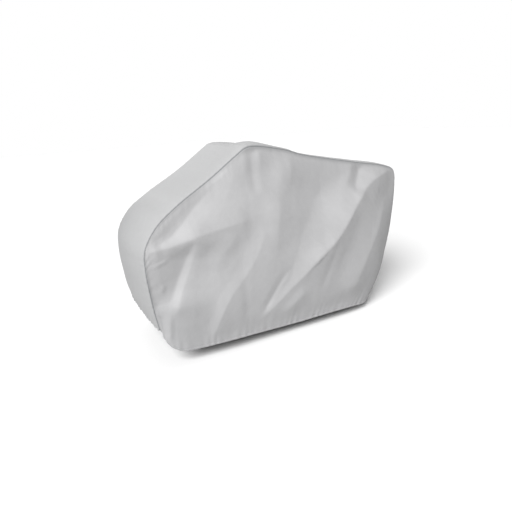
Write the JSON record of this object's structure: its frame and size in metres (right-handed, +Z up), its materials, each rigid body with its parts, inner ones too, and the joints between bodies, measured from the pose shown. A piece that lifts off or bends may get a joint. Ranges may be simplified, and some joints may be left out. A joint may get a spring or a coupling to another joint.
{
  "type": "quad bike cover",
  "caption": "Light grey fitted cloth cover: a centre strip over nose, handlebar crown and tail, a draped side panel sewn to each edge, and a drawn-in hem, open below.",
  "frame": {"origin": "under the crown of the centre strip, on its inner face at the middle of its width, where the cover is carried", "axes": "+X to the rear along the cover, +Y to its right side, +Z up; the front is at -X and the ground it hangs over is 1.272 m below the origin"},
  "size_m": [2.0185, 0.9617, 1.2417],
  "materials": {
    "strip_cloth": "light grey coated nonwoven, satin",
    "side_cloth": "grey coated nonwoven, satin"
  },
  "bodies": {
    "root": {"centre_strip": "strip_cloth", "side_panel_left": "side_cloth", "side_panel_right": "side_cloth"}
  },
  "joints": []
}
